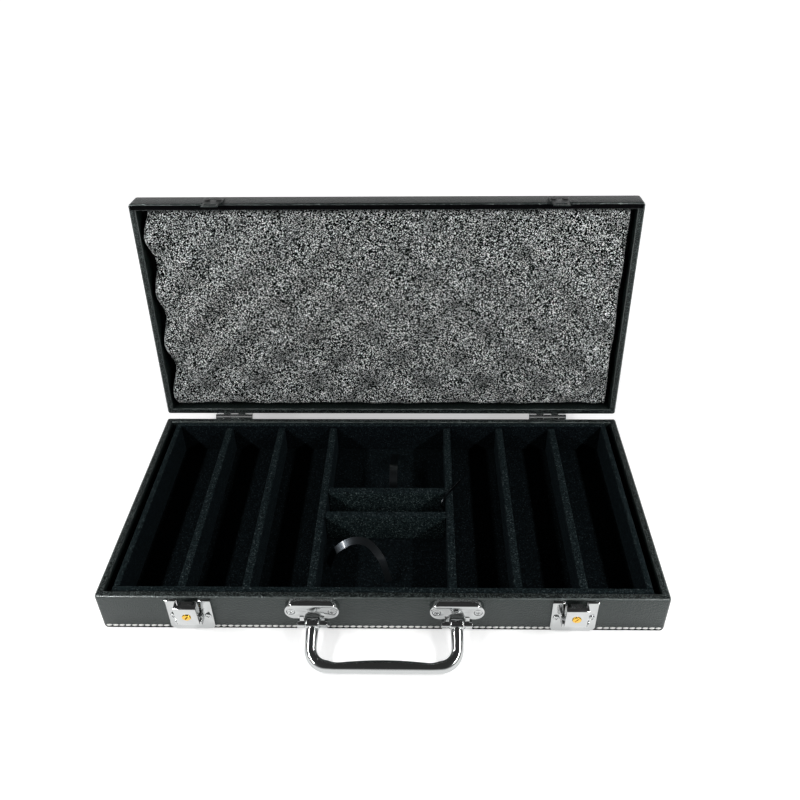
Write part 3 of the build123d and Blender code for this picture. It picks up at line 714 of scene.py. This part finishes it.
def broken_edges(node, material, edge, segments=2):
    """A copy of a CAD node's mesh, made whole and with its sharp edges rounded."""
    piece = bpy.data.objects.new(node + "_finished", frame["nodes"][node].data.copy())
    bpy.context.collection.objects.link(piece)
    bpy.ops.object.select_all(action="DESELECT")
    piece.select_set(True)
    bpy.context.view_layer.objects.active = piece
    bpy.ops.object.mode_set(mode="EDIT")
    bpy.ops.mesh.select_all(action="SELECT")
    bpy.ops.mesh.remove_doubles(threshold=0.002 * MM)
    bpy.ops.mesh.dissolve_limited(angle_limit=math.radians(1))
    bpy.ops.object.mode_set(mode="OBJECT")
    rounding = piece.modifiers.new("rounding", "BEVEL")
    rounding.width = edge
    rounding.segments = segments
    rounding.limit_method = "ANGLE"
    rounding.angle_limit = math.radians(50)
    rounding.use_clamp_overlap = True
    apply_modifiers(piece)
    settle(piece, node + "_finished", material, node, sharp=35)


for name in frame["nodes"]:
    if name.startswith(("latch_plate", "latch_cover", "handle_bracket")):
        broken_edges(name, chrome, 0.25 * MM)
    elif name.startswith("hinge_") or name in ("latch_screws", "bracket_screws"):
        broken_edges(name, chrome, 0.1 * MM, segments=1)

# Pins of the latches, the handle and the hinges: bright drawn steel wire, cut to length.
steel, tree, shader, place = new_material("bright_drawn_steel", "#B9BABC", 0.25, metallic=1.0)
score_length, score_width = 25.0 * MM, 0.4 * MM
score_scale = (1 / score_length, 1 / score_width, 1 / score_width)
drawn = add_node(tree, "ShaderNodeMapping", {"Scale": score_scale}, {"Vector": place})
lines = add_node(
    tree, "ShaderNodeTexNoise", {"Scale": 1.0, "Detail": 2.0}, {"Vector": drawn.outputs[0]}
)
scored = add_node(
    tree,
    "ShaderNodeBump",
    {"Strength": 0.2, "Distance": 0.05 * MM},
    {"Height": lines.outputs["Fac"]},
)
tree.links.new(scored.outputs[0], shader.inputs["Normal"])
for name in frame["nodes"]:
    if "_pin_" in name:
        dress(name, steel)

# Key cylinders: turned brass, polished, with the milled slot for a flat key.
brass, tree, shader, place = new_material("polished_brass", "#DDB13C", 0.12, metallic=1.0)
turned = add_node(
    tree, "ShaderNodeTexNoise", {"Scale": 1 / (1.4286 * MM), "Detail": 3.0}, {"Vector": place}
)
worn = add_node(
    tree, "ShaderNodeMapRange", {"To Min": 0.05, "To Max": 0.2}, {"Value": turned.outputs["Fac"]}
)
tree.links.new(worn.outputs["Result"], shader.inputs["Roughness"])
dents = add_node(
    tree,
    "ShaderNodeBump",
    {"Strength": 0.9, "Distance": 0.7 * MM},
    {"Height": turned.outputs["Fac"]},
)
tree.links.new(dents.outputs[0], shader.inputs["Normal"])
for name in ("key_cylinder_left", "key_cylinder_right"):
    broken_edges(name, brass, 0.6 * MM, segments=3)

# Hasps: steel straps under the lid's own leather, with black enamelled rivets. None shows in the
# photograph, but the latches need them, so they are a guess.
enamel, tree, shader, place = new_material("black_enamelled_steel", "#0A0A0B", 0.35)
flow = add_node(
    tree, "ShaderNodeTexNoise", {"Scale": 1 / (2.5 * MM), "Detail": 2.0}, {"Vector": place}
)
peel = add_node(
    tree,
    "ShaderNodeBump",
    {"Strength": 0.15, "Distance": 0.1 * MM},
    {"Height": flow.outputs["Fac"]},
)
tree.links.new(peel.outputs[0], shader.inputs["Normal"])
for name in ("lid_hasp_left", "lid_hasp_right"):
    broken_edges(name, leather, 0.15 * MM)
dress("hasp_rivets", enamel)


# Handle: a die-cast chromed loop with a fuller grip, 110 mm wide, that turns on a pin in each
# bracket. A round section is drawn out along the leg, spun round each bend and swelled along the
# grip.
pivot_y, pivot_z = -104.5 * MM, 14.4 * MM
handle_middle = 2.4 * MM
half_span = 50.3 * MM
reach = 28.5 * MM
leg_radius = 4.6 * MM
end_radius = 3.3 * MM
grip_radius = 4.5 * MM
bend_radius = 12.0 * MM
leg_taper = 0.97
leg_end = leg_radius * leg_taper**2
eye_radius = 4.5 * MM
eye_length = 9.4 * MM
quarter_turn = math.radians(90)
handle_drop = math.radians(19.898)
left = handle_middle - half_span
right = handle_middle + half_span
far = pivot_y - reach
bend_start = far + bend_radius
leg_step = (pivot_y - bend_start) / 2

bpy.ops.object.select_all(action="DESELECT")
bpy.ops.mesh.primitive_circle_add(
    vertices=32,
    radius=leg_radius,
    location=(left, pivot_y, pivot_z),
    rotation=(quarter_turn, 0, 0),
)
loop = bpy.context.object
bpy.ops.object.mode_set(mode="EDIT")
bpy.ops.mesh.select_all(action="SELECT")


def draw_out(move, scale, centre):
    """Draws the open end on by a step, then swells or thins it about its centre."""
    bpy.ops.mesh.extrude_region_move(TRANSFORM_OT_translate={"value": move})
    bpy.ops.transform.resize(value=scale, center_override=centre)


def bend(centre_x):
    """Spins the open end a quarter turn round the inside of a bend."""
    centre = (centre_x, bend_start, pivot_z)
    bpy.ops.mesh.spin(steps=12, angle=-quarter_turn, center=centre, axis=(0, 0, 1))


draw_out((0, -leg_step, 0), (leg_taper, 1, leg_taper), (left, pivot_y - leg_step, pivot_z))
draw_out((0, -leg_step, 0), (leg_taper, 1, leg_taper), (left, bend_start, pivot_z))
bend(left + bend_radius)
grip_length = right - left - 2 * bend_radius
grip_steps = 16
half_before = leg_end
centre_before = far
for step in range(1, grip_steps + 1):
    share = step / grip_steps
    half = end_radius + (grip_radius - end_radius) * math.sin(math.pi * share)
    if step == grip_steps:
        half = leg_end
    centre_y = far - grip_radius + half if step < grip_steps else far
    x = left + bend_radius + grip_length * share
    move = (grip_length / grip_steps, centre_y - centre_before, 0)
    draw_out(move, (1, half / half_before, 1), (x, centre_y, pivot_z))
    half_before, centre_before = half, centre_y
bend(right - bend_radius)
thicken = (1 / leg_taper, 1, 1 / leg_taper)
draw_out((0, leg_step, 0), thicken, (right, bend_start + leg_step, pivot_z))
draw_out((0, leg_step, 0), thicken, (right, pivot_y, pivot_z))
bpy.ops.mesh.select_all(action="SELECT")
bpy.ops.mesh.remove_doubles(threshold=0.01 * MM)
bpy.ops.mesh.select_all(action="DESELECT")
bpy.ops.mesh.select_non_manifold()
bpy.ops.mesh.edge_face_add()
bpy.ops.mesh.select_all(action="SELECT")
bpy.ops.mesh.normals_make_consistent(inside=False)
bpy.ops.object.mode_set(mode="OBJECT")
smoothing = loop.modifiers.new("smoothing", "SUBSURF")
smoothing.levels = 1
smoothing.render_levels = 1

eyes = []
for x in (left, right):
    bpy.ops.object.select_all(action="DESELECT")
    bpy.ops.mesh.primitive_cylinder_add(
        vertices=40,
        radius=eye_radius,
        depth=eye_length,
        location=(x, pivot_y, pivot_z),
        rotation=(0, quarter_turn, 0),
    )
    eye = bpy.context.object
    bpy.ops.object.transform_apply(location=True, rotation=True, scale=True)
    rounding = eye.modifiers.new("rounding", "BEVEL")
    rounding.width = 0.8 * MM
    rounding.segments = 3
    rounding.limit_method = "ANGLE"
    rounding.angle_limit = math.radians(50)
    apply_modifiers(eye)
    eyes.append(eye)
bpy.ops.object.select_all(action="DESELECT")
loop.select_set(True)
apply_modifiers(loop)
for eye in eyes:
    eye.select_set(True)
bpy.context.view_layer.objects.active = loop
bpy.ops.object.join()
pivot = Vector((0, pivot_y, pivot_z))
drop = Matrix.Rotation(handle_drop, 4, "X")
loop.matrix_world = (
    Matrix.Translation(pivot) @ drop @ Matrix.Translation(-pivot) @ loop.matrix_world
)
settle(loop, "handle_loop", chrome, "handle")


# Seam along the foot of the base: white waxed thread, a lockstitch of 4.6 mm through the folded
# leather. It stops at the latch plates, which cover it.
thread, tree, shader, place = new_material("white_waxed_thread", "#FBFBF8", 0.6)
# At scale 1 a diagonal wave's bands are pi / 5 / sqrt(3) apart, and a straight one's pi / 10.
diagonal_period = math.pi / 5 / math.sqrt(3)
straight_period = math.pi / 10
strand_spacing = 0.403 * MM
strands = add_node(
    tree,
    "ShaderNodeTexWave",
    {"Scale": diagonal_period / strand_spacing, "Distortion": 1.5, "bands_direction": "DIAGONAL"},
    {"Vector": place},
)
twist = add_node(
    tree,
    "ShaderNodeBump",
    {"Strength": 0.5, "Distance": 0.15 * MM},
    {"Height": strands.outputs["Fac"]},
)
tree.links.new(twist.outputs[0], shader.inputs["Normal"])
stitch_pitch = 4.6 * MM
stitch_length = 4.3 * MM
stitch_height = 1.8 * MM
stitch_flatness = 0.9
stitch_lean = math.radians(4)


def one_object(pieces):
    """Joins finished pieces into one object."""
    bpy.ops.object.select_all(action="DESELECT")
    for piece in pieces:
        piece.select_set(True)
    bpy.context.view_layer.objects.active = pieces[0]
    bpy.ops.object.join()
    return bpy.context.object


def stitch_row(start, end, outward, skips=()):
    """Stitches laid end to end along a straight seam, left out inside the skips, as one object."""
    start, end = Vector(start), Vector(end)
    along = (end - start).normalized()
    count = int((end - start).length / stitch_pitch)
    first = start + along * ((end - start).length - (count - 1) * stitch_pitch) / 2
    across = Vector(outward).cross(along)
    turn = Matrix((along, across, Vector(outward))).transposed().to_4x4()
    bpy.ops.object.select_all(action="DESELECT")
    bpy.ops.mesh.primitive_uv_sphere_add(segments=8, ring_count=5, radius=0.5, location=(0, 0, 0))
    pattern = bpy.context.object
    pattern.scale = (stitch_length, stitch_height, stitch_height * stitch_flatness)
    bpy.ops.object.transform_apply(location=True, rotation=True, scale=True)
    row = []
    for i in range(count):
        spot = first + along * stitch_pitch * i
        if any(low < spot.x < high for low, high in skips):
            continue
        stitch = bpy.data.objects.new("stitch", pattern.data.copy())
        bpy.context.collection.objects.link(stitch)
        lean = Matrix.Rotation(stitch_lean, 4, "Z")
        stitch.matrix_world = Matrix.Translation(spot) @ turn @ lean
        row.append(stitch)
    bpy.data.objects.remove(pattern)
    return one_object(row)


low, high = (Vector(corner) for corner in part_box("base_leather_cover"))
seam_z = 3.2 * MM
corner_gap = 1.2 * MM
plate_gap = 1.0 * MM
plates = []
for side in ("left", "right"):
    plate_low, plate_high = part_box("latch_plate_" + side)
    plates.append((plate_low[0] - plate_gap, plate_high[0] + plate_gap))
x0, x1 = low.x + corner_gap, high.x - corner_gap
y0, y1 = low.y + corner_gap, high.y - corner_gap
rows = [
    stitch_row((x0, low.y, seam_z), (x1, low.y, seam_z), (0, -1, 0), plates),
    stitch_row((x1, high.y, seam_z), (x0, high.y, seam_z), (0, 1, 0)),
    stitch_row((low.x, y1, seam_z), (low.x, y0, seam_z), (-1, 0, 0)),
    stitch_row((high.x, y0, seam_z), (high.x, y1, seam_z), (1, 0, 0)),
]
settle(one_object(rows), "base_stitches", thread, "base_seam_thread")

# Seam round the face of the lid: the same thread, 4 mm in from the edges. The photograph doesn't
# show that face, so the seam is a guess.
lid_seam_inset = 4.25 * MM
x1, y1 = case_half - Vector((lid_seam_inset, lid_seam_inset))
x0, y0 = -x1, -y1
rows = [
    stitch_row((x0, y0, closed_height), (x1, y0, closed_height), (0, 0, 1)),
    stitch_row((x1, y1, closed_height), (x0, y1, closed_height), (0, 0, 1)),
    stitch_row((x0, y1, closed_height), (x0, y0, closed_height), (0, 0, 1)),
    stitch_row((x1, y0, closed_height), (x1, y1, closed_height), (0, 0, 1)),
]
lid_stitches = one_object(rows)
open_with_lid(lid_stitches)
settle(lid_stitches, "lid_stitches", thread, "lid_seam_thread")


# Ribbons: black double-faced satin, glued under the insert's felt to lift out cards and dice.
# Each is bent up in a loose loop; the dice ribbon's end lies over the divider beside its slot.
# Their widths are matched to the photograph.
satin, tree, shader, place = new_material("black_satin_ribbon", "#030404", 0.3)
shader.inputs["Specular IOR Level"].default_value = 0.6
shader.inputs["Coat Weight"].default_value = 0.7
shader.inputs["Coat Roughness"].default_value = 0.12
shader.inputs["Specular Tint"].default_value = linear("#E4F2FF")
weft_spacing = 0.2856 * MM
weft = add_node(
    tree,
    "ShaderNodeTexWave",
    {"Scale": straight_period / weft_spacing, "Distortion": 0.4},
    {"Vector": place},
)
woven = add_node(
    tree,
    "ShaderNodeBump",
    {"Strength": 0.1, "Distance": 0.08 * MM},
    {"Height": weft.outputs["Fac"]},
)
tree.links.new(woven.outputs[0], shader.inputs["Normal"])


ribbon_thickness = 0.3 * MM


def ribbon(name, node, points, width, turns):
    """A satin ribbon on a smooth line through points in millimetres, turned by degrees at each."""
    line = bpy.data.curves.new(name, "CURVE")
    line.dimensions = "3D"
    line.twist_mode = "Z_UP"
    line.resolution_u = 16
    line.extrude = width * MM / 2
    spline = line.splines.new("BEZIER")
    spline.bezier_points.add(len(points) - 1)
    for knot, place_mm, turn in zip(spline.bezier_points, points, turns):
        knot.co = Vector(place_mm) * MM
        knot.handle_left_type = "AUTO"
        knot.handle_right_type = "AUTO"
        knot.tilt = math.radians(turn)
    strip_object = bpy.data.objects.new(name, line)
    bpy.context.collection.objects.link(strip_object)
    bpy.ops.object.select_all(action="DESELECT")
    strip_object.select_set(True)
    bpy.context.view_layer.objects.active = strip_object
    bpy.ops.object.convert(target="MESH")
    piece = bpy.context.object
    body = piece.modifiers.new("body", "SOLIDIFY")
    body.thickness = ribbon_thickness
    body.offset = 0
    apply_modifiers(piece)
    settle(piece, name, satin, node)


ribbon(
    "front_card_ribbon",
    "ribbon_front",
    [(-43, -47, 8), (-36, -44, 22), (-17, -42, 29.5), (-4, -49, 22), (4, -62, 8)],
    5.6,
    [105, 114, 122, 132, 140],
)
ribbon(
    "back_card_ribbon",
    "ribbon_back",
    [(4.5, 81, 6.8), (4.5, 62, 17), (4.5, 36, 27), (4.5, 21, 9)],
    6.5,
    [90, 90, 90, 90],
)
ribbon(
    "dice_ribbon",
    "ribbon_dice",
    [(44.6, -2.6, 23), (44.8, -1.5, 31), (49, 4, 33.2), (59.5, 19.4, 33.4)],
    3.0,
    [0, 0, 0, 0],
)
